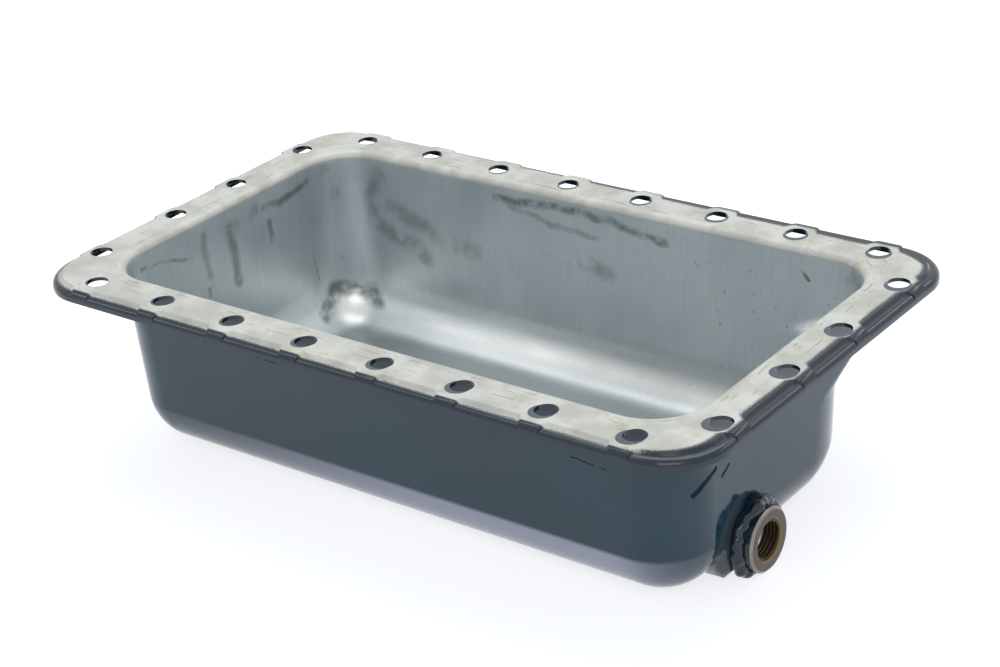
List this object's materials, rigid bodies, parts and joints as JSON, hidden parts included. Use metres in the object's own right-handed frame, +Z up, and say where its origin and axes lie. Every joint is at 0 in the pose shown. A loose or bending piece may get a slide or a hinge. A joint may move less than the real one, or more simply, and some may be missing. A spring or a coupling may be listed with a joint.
{
  "type": "engine oil pan",
  "caption": "Rectangular pressed-steel engine oil pan with a bolted gasket flange, turned-down lip and a welded threaded drain boss in one end.",
  "frame": {"origin": "centre of the bolt pattern, on the gasket face", "axes": "+Z up out of the mouth, square to the gasket face; +X along the long side, towards the end with the drain boss; +Y across, away from the side nearer the boss"},
  "size_m": [0.3228, 0.1944, 0.081],
  "materials": {
    "pan_shell": "gloss paint outside, bare satin steel inside and on the gasket face",
    "drain_boss": "turned, painted on its outside",
    "boss_weld": "gloss paint over a rough bead"
  },
  "bodies": {
    "root": {"pan_shell": "pan_shell", "drain_boss": "drain_boss", "boss_weld": "boss_weld"}
  },
  "joints": []
}
